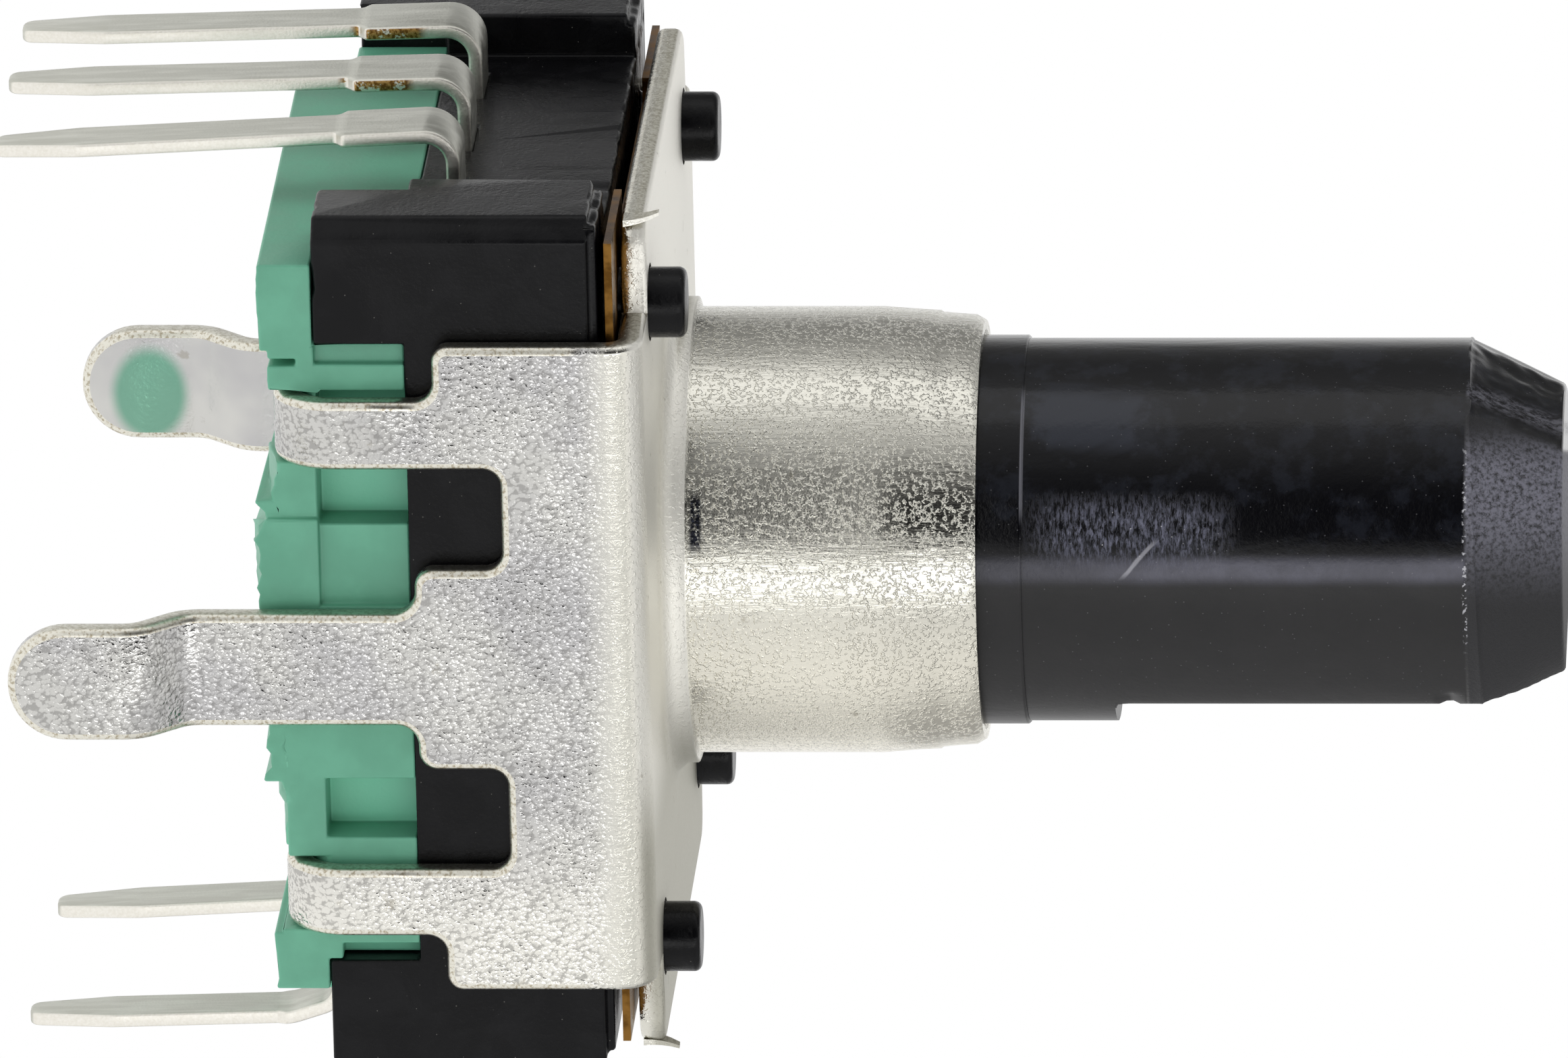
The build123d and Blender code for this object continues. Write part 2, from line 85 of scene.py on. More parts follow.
def view_direction():
    """Direction in which the camera looks."""
    side = Vector((-math.sin(RAISED), -math.cos(RAISED), 0.0))
    return math.cos(LOOK_DOWN) * side + Vector((0, 0, -math.sin(LOOK_DOWN)))


def make_camera():
    """Sets up the camera and returns its right, up and back directions."""
    data = bpy.data.cameras.new("camera")
    data.lens = LENS
    data.sensor_width = SENSOR
    data.clip_start, data.clip_end = CLIP
    camera = bpy.data.objects.new("camera", data)
    SCENE.collection.objects.link(camera)
    back = -view_direction()
    right = Vector((0, 0, 1)) - back * back.z
    right.normalize()
    up = back.cross(right)
    low, high = cad_box
    aim = Vector((0, 0, low[2] + AIM_SHARE * (high[2] - low[2])))
    place = aim + back * (FRAME_WIDTH * LENS / SENSOR)
    turn = Matrix((right, up, back)).transposed().to_4x4()
    camera.matrix_world = Matrix.Translation(place) @ turn
    SCENE.camera = camera
    return right, up, back


def sheet(name, corners, level):
    """A flat white sheet at a height."""
    mesh = bpy.data.meshes.new(name)
    mesh.from_pydata([corner + Vector((0, 0, level)) for corner in corners], [], [(0, 1, 2, 3)])
    paper = bpy.data.objects.new(name, mesh)
    SCENE.collection.objects.link(paper)
    paper.data.materials.append(floor_paper())
    return paper


def make_floor(level, up, back):
    """A wide pale floor, and on it the strip of white paper that shows in the object's gloss."""
    front, behind, high, low = PAPER
    ahead = Vector((back.x, back.y, 0)).normalized()
    across = Vector((up.x, up.y, 0)).normalized()
    sheet("paper", [ahead * front - across * low, ahead * front + across * high,
                    across * high - ahead * behind, -across * low - ahead * behind], level)
    floor = sheet("floor", [Vector((x, y, 0)) * FLOOR_REACH for x, y in CORNERS], level - FLOOR_GAP)
    floor.visible_glossy = False
    floor.visible_diffuse = False


def make_softbox(name, degrees, length, width, glow, lean, right, up, back):
    """A panel along the shaft, at an angle from the view axis towards up, with a glow."""
    aim = Vector((0, 0, LIGHT_AIM))
    angle = math.radians(degrees)
    place = aim + LIGHT_FAR * (math.sin(angle) * up + math.cos(angle) * back + lean * right)
    data = bpy.data.lights.new(name, "AREA")
    data.shape = "RECTANGLE"
    data.size, data.size_y = width, length
    data.energy = glow * math.pi * width * length
    light = bpy.data.objects.new(name, data)
    SCENE.collection.objects.link(light)
    light.location = place
    light.rotation_euler = (place - aim).to_track_quat("Z", "Y").to_euler()


def make_tent(up, back):
    """The pale tent around the studio, shaded by the TENT rows."""
    world = bpy.data.worlds.new("studio")
    SCENE.world = world
    world.use_nodes = True
    tree = world.node_tree
    coords = tree.nodes.new("ShaderNodeTexCoord")
    sides = []
    for axis in (up, back):
        dot = tree.nodes.new("ShaderNodeVectorMath")
        dot.operation = "DOT_PRODUCT"
        tree.links.new(coords.outputs["Generated"], dot.inputs[0])
        dot.inputs[1].default_value = axis
        sides.append(dot.outputs["Value"])
    angle = tree.nodes.new("ShaderNodeMath")
    angle.operation = "ARCTAN2"
    tree.links.new(sides[0], angle.inputs[0])
    tree.links.new(sides[1], angle.inputs[1])
    total = None
    for start, end, level in TENT:
        step = tree.nodes.new("ShaderNodeMapRange")
        step.interpolation_type = "SMOOTHSTEP"
        tree.links.new(angle.outputs[0], step.inputs["Value"])
        step.inputs["From Min"].default_value = math.radians(start)
        step.inputs["From Max"].default_value = math.radians(end)
        step.inputs["To Max"].default_value = level
        added = tree.nodes.new("ShaderNodeMath")
        tree.links.new(step.outputs["Result"], added.inputs[0])
        added.inputs[1].default_value = 0.0
        if total is not None:
            tree.links.new(total, added.inputs[1])
        total = added.outputs[0]
    tree.links.new(total, tree.nodes["Background"].inputs["Strength"])
    tree.nodes["Background"].inputs["Color"].default_value = (1, 1, 1, 1)


# ---- node helpers --------------------------------------------------------------------
class Shader:
    """A material under construction; every method adds one node and returns its output."""

    def __init__(self, name):
        self.material = bpy.data.materials.new(name)
        self.material.use_nodes = True
        self.tree = self.material.node_tree
        self.tree.nodes.clear()
        self.body = self.tree.nodes.new("ShaderNodeBsdfPrincipled")
        out = self.tree.nodes.new("ShaderNodeOutputMaterial")
        self.tree.links.new(self.body.outputs["BSDF"], out.inputs["Surface"])
        coords = self.tree.nodes.new("ShaderNodeTexCoord")
        self.mm = self.vector("SCALE", coords.outputs["Object"], scale=1000.0)

    def times(self, a, *others):
        """The product of two or more values."""
        for other in others:
            a = self.math("MULTIPLY", a, other)
        return a

    def plug(self, socket, value):
        if isinstance(value, bpy.types.NodeSocket):
            self.tree.links.new(value, socket)
        elif value is not None:
            socket.default_value = value

    def vector(self, operation, a, b=None, scale=None):
        node = self.tree.nodes.new("ShaderNodeVectorMath")
        node.operation = operation
        self.plug(node.inputs[0], a)
        if b is not None:
            self.plug(node.inputs[1], b)
        if scale is not None:
            self.plug(node.inputs["Scale"], scale)
        return node.outputs["Value" if operation in ("LENGTH", "DOT_PRODUCT") else "Vector"]

    def math(self, operation, a, b=None, clamp=False):
        node = self.tree.nodes.new("ShaderNodeMath")
        node.operation = operation
        node.use_clamp = clamp
        self.plug(node.inputs[0], a)
        if b is not None:
            self.plug(node.inputs[1], b)
        return node.outputs[0]

    def stretch(self, factors):
        """The object's millimetre coordinates, scaled unevenly."""
        return self.vector("MULTIPLY", self.mm, factors)

    def noise(self, scale, detail=3.0, rough=0.5, coords=None, warp=0.0):
        node = self.tree.nodes.new("ShaderNodeTexNoise")
        self.plug(node.inputs["Vector"], coords or self.mm)
        node.inputs["Scale"].default_value = scale
        node.inputs["Detail"].default_value = detail
        node.inputs["Roughness"].default_value = rough
        node.inputs["Distortion"].default_value = warp
        return node.outputs["Fac"]

    def noise_colour(self, scale):
        """Three unrelated noises, for wandering coordinates."""
        node = self.tree.nodes.new("ShaderNodeTexNoise")
        self.plug(node.inputs["Vector"], self.mm)
        node.inputs["Scale"].default_value = scale
        node.inputs["Detail"].default_value = 2.0
        return node.outputs["Color"]

    def cells(self, scale, coords=None):
        """Distance to the nearest of many scattered points."""
        node = self.tree.nodes.new("ShaderNodeTexVoronoi")
        self.plug(node.inputs["Vector"], coords or self.mm)
        node.inputs["Scale"].default_value = scale
        return node.outputs["Distance"]

    def ramp(self, value, low, high, a=0.0, b=1.0):
        """Smooth step of a value between two limits, mapped to a..b."""
        node = self.tree.nodes.new("ShaderNodeMapRange")
        node.interpolation_type = "SMOOTHSTEP"
        self.plug(node.inputs["Value"], value)
        for name, number in (("From Min", low), ("From Max", high), ("To Min", a), ("To Max", b)):
            self.plug(node.inputs[name], number)
        return node.outputs["Result"]

    def mix(self, fac, a, b):
        node = self.tree.nodes.new("ShaderNodeMix")
        node.data_type = "RGBA"
        self.plug(node.inputs[0], fac)
        self.plug(node.inputs[6], a)
        self.plug(node.inputs[7], b)
        return node.outputs[2]

    def bump(self, height, distance, strength=1.0, under=None):
        node = self.tree.nodes.new("ShaderNodeBump")
        node.inputs["Strength"].default_value = strength
        node.inputs["Distance"].default_value = distance * MM
        self.plug(node.inputs["Height"], height)
        self.plug(node.inputs["Normal"], under)
        return node.outputs["Normal"]

    def edge(self, radius):
        """1 along sharp or narrow edges, 0 on flat faces."""
        soft = self.tree.nodes.new("ShaderNodeBevel")
        soft.samples = 4
        soft.inputs["Radius"].default_value = radius * MM
        plain = self.tree.nodes.new("ShaderNodeNewGeometry")
        same = self.vector("DOT_PRODUCT", soft.outputs["Normal"], plain.outputs["Normal"])
        return self.ramp(self.math("SUBTRACT", 1.0, same), 0.02, 0.2)

    def rolled(self):
        """1 on the rounded edges that were added to a piece, 0 on its faces."""
        node = self.tree.nodes.new("ShaderNodeAttribute")
        node.attribute_name = "rolled"
        return node.outputs["Fac"]

    def facing(self, direction):
        """How far the surface faces a direction, from 0 to 1, the same for the opposite one."""
        normal = self.tree.nodes.new("ShaderNodeNewGeometry").outputs["Normal"]
        return self.math("ABSOLUTE", self.vector("DOT_PRODUCT", normal, direction))

    def axis(self, name):
        """One of the object's millimetre coordinates."""
        node = self.tree.nodes.new("ShaderNodeSeparateXYZ")
        self.plug(node.inputs[0], self.mm)
        return node.outputs[name]

    def finish(self, colour, roughness, metallic=0.0, normal=None, **more):
        self.plug(self.body.inputs["Base Color"], colour)
        self.plug(self.body.inputs["Roughness"], roughness)
        self.plug(self.body.inputs["Metallic"], metallic)
        self.plug(self.body.inputs["Normal"], normal)
        for name, value in more.items():
            self.plug(self.body.inputs[name.replace("_", " ")], value)
        return self.material


def rgb(red, green, blue):
    """Linear colour from the 0-255 values that a screen shows."""
    def linear(value):
        value /= 255
        return value / 12.92 if value <= 0.04045 else ((value + 0.055) / 1.055) ** 2.4
    return (linear(red), linear(green), linear(blue), 1.0)


# ---- materials -----------------------------------------------------------------------
FAR_LUG_MIDDLE = (-0.15, 0.0, -2.62)
PICTURE_UP = (0.94, -0.342, 0.0)       # direction across the shaft, away from the strip light
BUSHING_R = (3.66, 3.58)               # where the bushing's finish starts, from outside in
MIRRORED_R = (0.92, 0.6)               # soft rim of the painted green reflection of the case on the far lug
SCRATCH = (13.63, -0.48)               # place of the shaft's scratch: along it and across it
SCRATCH_SLOPE = (0.74, 0.68)
CONE_EDGE = (18.75, 1.79)              # where the tip cone starts, and the height there of the smeared strip with its painted crest highlight
HAZE_Z = (11.9, 13.9)
MOULDED_SHINE, SHAFT_SHINE = 0.16, 0.30
COLLAR_HIGHLIGHT_Z = (11.77, 11.82)


def floor_paper():
    """Paper that glows evenly white, so that the floor shows no shade."""
    s = Shader("floor_paper")
    s.plug(s.body.inputs["Emission Color"], (1, 1, 1, 1))
    return s.finish((0, 0, 0, 1), 1.0, Specular_IOR_Level=0.0, Emission_Strength=1.0)


def between(s, value, low, high, soft):
    """1 while a value lies between two limits, with soft ends."""
    above = s.ramp(value, low - soft, low + soft)
    return s.times(above, s.ramp(value, high + soft, high - soft))


def bushing_zone(s):
    """1 on the threadless bushing, 0 on the sheet around it."""
    across = s.vector("LENGTH", s.vector("MULTIPLY", s.mm, (1.0, 1.0, 0.0)))
    return s.times(s.ramp(across, *BUSHING_R), s.ramp(s.axis("Z"), 6.5, 6.62))


def outer_side(s):
    """1 on faces that look away from the shaft axis, 0 on the inner faces of the sheet."""
    normal = s.tree.nodes.new("ShaderNodeNewGeometry").outputs["Normal"]
    flat = s.vector("MULTIPLY", s.mm, (1.0, 1.0, 0.0))
    return s.ramp(s.vector("DOT_PRODUCT", normal, flat), -2.0, -0.5)


def far_lug_reflection_mask(s):
    """1 in the middle of the far lug's round end, where a painted reflection of the case goes."""
    offset = s.vector("SUBTRACT", s.mm, FAR_LUG_MIDDLE)
    reach = s.vector("LENGTH", s.vector("MULTIPLY", offset, (1.0, 0.0, 1.3)))
    return s.times(s.ramp(reach, *MIRRORED_R), s.ramp(s.axis("Y"), -4.0, -4.5))


def pillow(s, edge_x, far_x):
    """Height of a tab that is pressed over sideways, so that it faces up the picture."""
    share = s.ramp(s.axis("X"), edge_x, far_x)
    lower = s.times(s.ramp(s.axis("Z"), 2.7, 1.9), outer_side(s))
    inside = between(s, s.axis("X"), min(edge_x, far_x) - 0.1, max(edge_x, far_x) + 0.1, 0.02)
    return s.times(share, lower, inside)


def steel_zones(s):
    """(drawn, front, rolled, sheared, pebbled): the parts of the stamping that look different."""
    drawn = bushing_zone(s)
    front = s.math("SUBTRACT", s.ramp(s.axis("Z"), 5.9, 6.1), drawn, True)
    rolled = s.times(s.rolled(), s.ramp(s.axis("Z"), 5.3, 5.0))
    sheared = s.ramp(s.facing((1.0, 0.0, 0.0)), 0.8, 0.95)
    sheared = s.times(sheared, s.math("SUBTRACT", 1.0, drawn))
    smooth = s.math("MAXIMUM", drawn, s.ramp(s.axis("Z"), 5.2, 5.7))
    edges = s.math("MAXIMUM", rolled, sheared)
    return drawn, front, rolled, sheared, s.math("SUBTRACT", 1.0, s.math("MAXIMUM", edges, smooth))


def root_shade(s, speck):
    """1 on the dark, speckled streak at the root of the bushing."""
    height = s.vector("DOT_PRODUCT", s.mm, PICTURE_UP)
    root = s.times(between(s, s.axis("Z"), 6.66, 6.84, 0.04), between(s, height, -0.35, 0.55, 0.15))
    root = s.times(root, s.ramp(s.axis("Y"), 2.6, 3.0))
    return s.times(root, s.ramp(speck, 0.66, 0.5))


def steel_tone(s, zones, domes):
    """Colour of the plating: greyer walls, creamy front plate and bushing, stains and cut edges; painted
    light and shade: walls and bushing paler towards -X, the front plate darker towards -X, dark pebble
    creases and a green reflection of the case on the far lug.
    """
    drawn, front, rolled, sheared, pebbled = zones
    speck = s.noise(18.0, 2.0, 0.6)
    patchy = s.ramp(s.noise(0.45, 3.0, 0.6), 0.34, 0.62)
    tone = s.mix(patchy, rgb(190, 189, 189), rgb(208, 207, 203))
    # painted light: the steel is painted paler towards -X, the side where the low strip light falls
    tone = s.mix(s.ramp(s.axis("X"), -2.0, -4.6), tone, rgb(236, 234, 226))
    # painted shade: the creases between the pebble domes are painted dark
    crease_shade = s.times(s.ramp(domes, 0.48, 0.74), s.times(pebbled, outer_side(s)))
    tone = s.mix(s.times(crease_shade, 0.45), tone, rgb(104, 102, 100))
    tone = s.mix(s.ramp(s.axis("Z"), 5.1, 5.9), tone, rgb(218, 216, 206))
    # painted light: the bushing's side towards -X is painted paler, where the low strip light falls
    tone = s.mix(s.times(drawn, s.ramp(s.axis("X"), 0.6, -1.4)), tone, rgb(240, 236, 222))
    # painted shading: the front plate is painted pale towards +X and darker towards -X, standing in for
    # the light it mirrors
    plate = s.mix(s.ramp(s.axis("X"), -1.2, -3.4), rgb(250, 248, 240), rgb(190, 188, 176))
    tone = s.mix(front, tone, plate)
    stain = s.ramp(s.noise(2.2, 4.0, 0.65), 0.66, 0.74)
    tone = s.mix(s.times(stain, 0.4), tone, rgb(140, 132, 112))
    # painted reflection: the green of the case is painted into the middle of the far lug
    painted_case_reflection = s.times(s.ramp(outer_side(s), 0.3, 0.0), far_lug_reflection_mask(s))
    tone = s.mix(s.times(painted_case_reflection, 0.85), tone, rgb(96, 160, 134))
    tone = s.mix(rolled, tone, s.mix(s.ramp(speck, 0.45, 0.7), rgb(232, 229, 217), rgb(176, 166, 144)))
    tone = s.mix(root_shade(s, speck), tone, rgb(48, 50, 60))
    cut = s.mix(s.ramp(speck, 0.4, 0.65), rgb(206, 204, 193), rgb(176, 172, 158))
    return s.mix(sheared, tone, cut)


def steel_skin(s, zones, domes, fine):
    """Relief of the plating: pebbles on the walls, streaks and specks on the bushing."""
    drawn, pebbled = zones[0], zones[-1]
    depth = s.ramp(s.noise(0.8, 2.0, 0.5), 0.32, 0.6, 0.45, 1.0)
    depth = s.times(depth, s.ramp(outer_side(s), 0.0, 1.0, 0.12, 1.0))
    grains = s.noise(13.0, 2.0, 0.5, s.stretch((1.0, 1.0, 0.6)))
    pebble = s.math("SUBTRACT", s.times(grains, 0.8), domes)
    streak = s.noise(9.0, 4.0, 0.65, s.stretch((1.0, 1.0, 0.10)))
    grainy = s.ramp(s.axis("Z"), 8.6, 9.4, 0.5, 1.0)
    specks = s.ramp(s.noise(13.0, 2.0, 0.6), 0.50, 0.62)
    brushed = s.math("ADD", s.times(streak, 0.7), s.times(specks, grainy))
    strength = s.math("MAXIMUM", drawn, s.ramp(s.axis("Z"), 5.2, 5.7, 0.0, 0.5))
    skin = s.bump(s.times(pebble, depth, pebbled), 0.019)
    skin = s.bump(pillow(s, 3.3, 4.5), 0.17, 1.0, skin)
    skin = s.bump(pillow(s, -3.75, -3.3), 0.05, 1.0, skin)
    skin = s.bump(s.times(brushed, strength), 0.014, 0.9, skin)
    return s.bump(fine, 0.004, 0.4, skin)


def plated_steel():
    """Bright plated sheet with a pebbled skin; the drawn bushing is streaked along its axis."""
    s = Shader("plated_steel")
    zones = steel_zones(s)
    drawn, front, rolled, sheared = zones[:4]
    wander = s.vector("SCALE", s.noise_colour(10.0), scale=0.10)
    domes = s.cells(15.0, s.vector("ADD", s.stretch((1.0, 1.0, 0.7)), wander))
    fine = s.noise(30.0, 3.0, 0.6)
    rough = s.math("ADD", s.ramp(fine, 0.3, 0.7, 0.14, 0.22), s.times(drawn, 0.01))
    rough = s.math("ADD", rough, s.times(front, 0.35))
    rough = s.math("ADD", rough, s.times(s.math("MAXIMUM", rolled, sheared), 0.14))
    return s.finish(steel_tone(s, zones, domes), rough, 1.0, steel_skin(s, zones, domes, fine))


def plated_brass():
    """Tinned brass: greyish faces, pale cut sides and a few bare coppery spots."""
    s = Shader("plated_brass")
    streak = s.noise(5.0, 3.0, 0.6, s.stretch((1.0, 1.0, 0.15)))
    fine = s.noise(24.0, 2.0, 0.5)
    side = s.facing((0.0, 1.0, 0.0))
    tone = s.mix(s.ramp(streak, 0.35, 0.7), rgb(186, 186, 176), rgb(212, 212, 203))
    tone = s.mix(s.ramp(side, 0.5, 0.8), tone, s.mix(fine, rgb(250, 247, 240), rgb(226, 222, 210)))
    bare = s.times(s.ramp(s.axis("Z"), 1.1, 1.25), s.ramp(s.axis("Z"), 2.4, 2.2))
    bare = s.times(bare, s.ramp(s.axis("Y"), 1.5, 1.3))
    bare = s.times(bare, s.ramp(s.noise(5.0, 3.0, 0.7), 0.40, 0.46))
    bare = s.times(bare, s.ramp(side, 0.8, 0.95))
    tone = s.mix(bare, tone, s.mix(s.ramp(fine, 0.4, 0.6), rgb(120, 84, 40), rgb(184, 146, 88)))
    skin = s.bump(fine, 0.006, 0.5)
    return s.finish(tone, s.ramp(streak, 0.3, 0.7, 0.34, 0.46), 1.0, skin)


def bronze():
    """Dull, stained bronze sheet."""
    s = Shader("bronze")
    stain = s.noise(3.0, 3.0, 0.6)
    tone = s.mix(s.ramp(stain, 0.35, 0.65), rgb(88, 60, 24), rgb(132, 96, 46))
    return s.finish(tone, s.ramp(stain, 0.3, 0.7, 0.25, 0.45), 1.0, s.bump(stain, 0.01, 0.3))


def dome_steel():
    """Brushed spring steel."""
    s = Shader("dome_steel")
    grain = s.noise(9.0, 3.0, 0.6, s.stretch((1.0, 0.1, 1.0)))
    tone = s.mix(grain, rgb(188, 188, 186), rgb(215, 214, 210))
    return s.finish(tone, 0.28, 1.0, s.bump(grain, 0.004, 0.4))


def contact_metal():
    """Pale yellow contact metal."""
    s = Shader("contact_metal")
    grain = s.noise(6.0, 3.0, 0.6)
    tone = s.mix(grain, rgb(196, 176, 124), rgb(220, 205, 160))
    return s.finish(tone, s.ramp(grain, 0.3, 0.7, 0.2, 0.35), 1.0, s.bump(grain, 0.004, 0.4))


def moulded(name, dark, pale, low_rough, high_rough):
    """Glossy moulding with faint flow marks, fine dust and scuffed edges."""
    s = Shader(name)
    flow = s.noise(1.2, 3.0, 0.6, warp=0.6)
    fine = s.noise(14.0, 3.0, 0.6)
    dust = s.ramp(s.cells(5.0), 0.03, 0.06, 1.0, 0.0)
    scuff = s.times(s.edge(0.06), s.ramp(s.noise(6.0, 3.0, 0.7), 0.5, 0.62))
    tone = s.mix(s.ramp(flow, 0.4, 0.7), dark, pale)
    tone = s.mix(s.times(dust, 0.4), tone, rgb(150, 148, 142))
    tone = s.mix(s.times(scuff, 0.25), tone, rgb(140, 138, 136))
    rough = s.ramp(flow, 0.3, 0.7, low_rough, high_rough)
    skin = s.bump(flow, 0.02, 0.5)
    skin = s.bump(fine, 0.010, 0.5, skin)
    return s.finish(tone, rough, 0.0, skin, Specular_IOR_Level=MOULDED_SHINE)


def black_plastic():
    return moulded("black_plastic", rgb(13, 13, 15), rgb(20, 20, 22), 0.20, 0.32)


def scratch(s, height, along):
    """One slanting scratch across the painted highlight stripe."""
    ahead = s.math("SUBTRACT", along, SCRATCH[0])
    above = s.math("SUBTRACT", height, SCRATCH[1])
    off = s.math("SUBTRACT", s.times(ahead, SCRATCH_SLOPE[0]), s.times(above, SCRATCH_SLOPE[1]))
    off = s.math("ADD", off, s.times(s.math("SUBTRACT", s.noise(2.5), 0.5), 0.06))
    line = s.ramp(s.math("ABSOLUTE", off), 0.045, 0.015)
    return s.times(line, between(s, above, -0.26, 0.26, 0.08))


def cone_marks(s, height, along):
    """(matt, smear_and_highlight, dots): the matt part of the cone, the rough smeared strip above it
    with a painted highlight along the crest, its speckled start.
    """
    start = s.math("SUBTRACT", along, CONE_EDGE[0])
    rise = s.math("ADD", s.math("SUBTRACT", height, CONE_EDGE[1]), s.times(start, 0.39))
    cone = s.ramp(start, -0.07, -0.01)
    matt = s.times(cone, s.ramp(rise, 0.08, -0.08))
    smear_and_highlight = s.times(between(s, rise, 0.24, 0.46, 0.13), cone)
    torn = s.noise(4.0, 4.0, 0.7, s.stretch((3.0, 3.0, 0.6)))
    smear_and_highlight = s.times(smear_and_highlight, s.ramp(torn, 0.38, 0.66))
    dots = s.times(between(s, start, -0.08, -0.02, 0.015), s.ramp(s.noise(16.0), 0.54, 0.62))
    return matt, smear_and_highlight, s.times(dots, between(s, height, -1.8, 1.2, 0.2))


def shaft_haze(s, height, along, flow, cloud):
    """1 in the hazy patch beside the collar, less in faint clouds all over the shaft."""
    wander = s.math("ADD", height, s.times(s.math("SUBTRACT", flow, 0.5), 0.9))
    drift = s.math("ADD", along, s.times(s.math("SUBTRACT", cloud, 0.5), 2.4))
    haze = s.times(between(s, wander, 1.2, 2.1, 0.2), between(s, drift, *HAZE_Z, 0.35))
    return s.math("MAXIMUM", haze, s.times(s.ramp(cloud, 0.48, 0.66), 0.4))


def shaft_wear_and_highlights(s, height, along, cloud):
    """(scuff, glints, strip_highlight): the scuffed middle, its bright points and the painted highlight
    stripe where the strip light is mirrored.
    """
    strokes = s.noise(8.0, 4.0, 0.75, s.stretch((0.7, 0.7, 2.6)), 0.3)
    rubbed = s.times(between(s, height, -0.40, 0.35, 0.3), between(s, along, 12.2, 14.8, 0.5))
    scuff = s.times(rubbed, s.ramp(strokes, 0.42, 0.64))
    glints = s.times(s.ramp(s.cells(7.0), 0.10, 0.04), s.math("MAXIMUM", rubbed, 0.12))
    strip_highlight = s.times(between(s, height, -0.82, -0.47, 0.11), s.ramp(along, 11.0, 15.0, 0.6, 1.0))
    return scuff, glints, s.times(strip_highlight, s.ramp(cloud, 0.3, 0.7, 0.65, 1.0))


def cone_tone(s, height, grain):
    """Colour of the matt part of the tip cone, paler and grainy in its middle."""
    pale = s.times(s.ramp(height, -1.3, 0.4), s.ramp(height, 1.7, 0.9))
    return s.mix(s.times(pale, s.ramp(grain, 0.3, 0.62)), rgb(46, 46, 48), rgb(126, 126, 138))


def shaft_plastic():
    """Glossy black shaft: hazy above, painted paler below, scuffed in the middle, painted highlights on
    a stripe and along the collar, a rough smeared crest with a painted highlight on the cone, matt on
    the cone.
    """
    s = Shader("shaft_plastic")
    height = s.vector("DOT_PRODUCT", s.mm, PICTURE_UP)
    along = s.axis("Z")
    flow = s.noise(0.8, 3.0, 0.6, s.stretch((1.0, 1.0, 0.5)), 0.8)
    fine = s.noise(16.0, 3.0, 0.6)
    cloud = s.noise(1.5, 4.0, 0.65)
    grain = s.noise(15.0, 4.0, 0.7)
    below = s.ramp(height, -0.6, -1.0)
    scuff, glints, strip_highlight = shaft_wear_and_highlights(s, height, along, cloud)
    matt, smear_and_highlight, dots = cone_marks(s, height, along)
    # painted highlight: a pale line painted along the top edge of the collar
    collar = s.times(between(s, along, *COLLAR_HIGHLIGHT_Z, 0.01), between(s, height, 0.2, 2.1, 0.2))
    tone = s.mix(shaft_haze(s, height, along, flow, cloud), rgb(9, 9, 13), rgb(42, 45, 54))
    # painted light: the shaft's side away from PICTURE_UP is painted paler, where the low strip light
    # falls
    tone = s.mix(below, tone, s.mix(cloud, rgb(30, 30, 31), rgb(42, 41, 42)))
    # painted highlight: a pale stripe below the middle stands for the mirrored strip light
    tone = s.mix(s.times(strip_highlight, 0.75), tone, rgb(98, 98, 112))
    tone = s.mix(s.times(scuff, 0.8), tone, rgb(124, 126, 146))
    tone = s.mix(s.times(scratch(s, height, along), 0.8), tone, rgb(160, 160, 168))
    tone = s.mix(glints, tone, rgb(200, 200, 205))
    tone = s.mix(s.times(collar, 0.7), tone, rgb(130, 130, 138))
    tone = s.mix(matt, tone, cone_tone(s, height, grain))
    # partly real, partly painted light: a rough smeared strip whose pale colour is a painted highlight
    # along the cone's crest
    tone = s.mix(s.times(smear_and_highlight, 0.7), tone, rgb(124, 124, 134))
    tone = s.mix(dots, tone, rgb(190, 190, 196))
    rough = s.ramp(below, 0.0, 1.0, 0.15, 0.34)
    rough = s.math("MAXIMUM", rough, s.times(s.math("MAXIMUM", matt, smear_and_highlight), 0.55))
    skin = s.bump(flow, 0.03, 0.4)
    skin = s.bump(s.times(grain, s.math("MAXIMUM", matt, scuff)), 0.03, 0.8, skin)
    skin = s.bump(fine, 0.005, 0.4, skin)
    return s.finish(tone, rough, 0.0, skin, Specular_IOR_Level=SHAFT_SHINE)


def rotor_plastic():
    return moulded("rotor_plastic", rgb(214, 210, 198), rgb(226, 222, 212), 0.4, 0.5)


def green_plastic():
    """Green moulding, its edges painted paler as a highlight and its recessed channels painted paler to
    lift their shade.
    """
    s = Shader("green_plastic")
    flow = s.noise(1.0, 3.0, 0.6)
    fine = s.noise(12.0, 3.0, 0.6)
    # painted highlight: the edges are painted paler
    edge_highlight = s.edge(0.08)
    tone = s.mix(s.ramp(flow, 0.35, 0.7), rgb(97, 168, 139), rgb(107, 180, 150))
    tone = s.mix(s.times(edge_highlight, 0.5), tone, rgb(126, 200, 170))
    # painted light: faces in the recessed channels of the long sides are painted paler to cancel their
    # shade
    channel_fill_light = s.ramp(s.math("ABSOLUTE", s.axis("Y")), 5.8, 5.4)
    channel_fill_light = s.times(channel_fill_light, s.ramp(s.facing((0.0, 1.0, 0.0)), 0.6, 0.9))
    tone = s.mix(channel_fill_light, tone, rgb(128, 214, 180))
    skin = s.bump(fine, 0.012, 0.4)
    return s.finish(tone, s.ramp(flow, 0.3, 0.7, 0.36, 0.5), 0.0, skin)


FINISHES = {
    "plated_steel": plated_steel, "plated_brass": plated_brass, "bronze": bronze,
    "dome_steel": dome_steel, "contact_metal": contact_metal, "shaft_plastic": shaft_plastic,
    "black_plastic": black_plastic, "rotor_plastic": rotor_plastic,
    "green_plastic": green_plastic,
}


